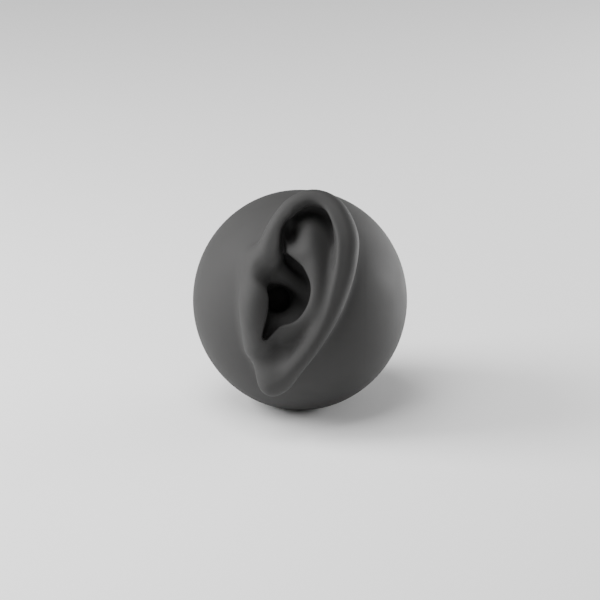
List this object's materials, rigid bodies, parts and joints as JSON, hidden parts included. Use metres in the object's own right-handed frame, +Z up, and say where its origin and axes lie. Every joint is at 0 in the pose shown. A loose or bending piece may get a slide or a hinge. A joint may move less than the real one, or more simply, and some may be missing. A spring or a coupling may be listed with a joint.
{
  "type": "ear display ball",
  "caption": "Soft rubber ball with a life-size human ear moulded on its front, over a screwed and weighted plastic core, to stand on its flat foot and show earphones.",
  "frame": {"origin": "centre of the foot pad's resting face", "axes": "+Z up; the ear faces -Y and is tipped 20 degrees up; +X is to the right seen from the front, the side of the ear's free rim"},
  "size_m": [0.065, 0.0705, 0.0727],
  "materials": {
    "skin_silicone": "soft matt moulded silicone",
    "core_plastic": "moulded ABS",
    "screw_steel": "zinc plated",
    "ballast_steel": "turned",
    "plug_plastic": "fine texture",
    "pad_rubber": "matt"
  },
  "bodies": {
    "root": {"ear_skin": "skin_silicone", "core_front": "core_plastic", "core_rear": "core_plastic", "core_screws": "screw_steel", "ballast": "ballast_steel", "base_plug": "plug_plastic", "base_screw": "screw_steel", "foot_pad": "pad_rubber"}
  },
  "joints": []
}
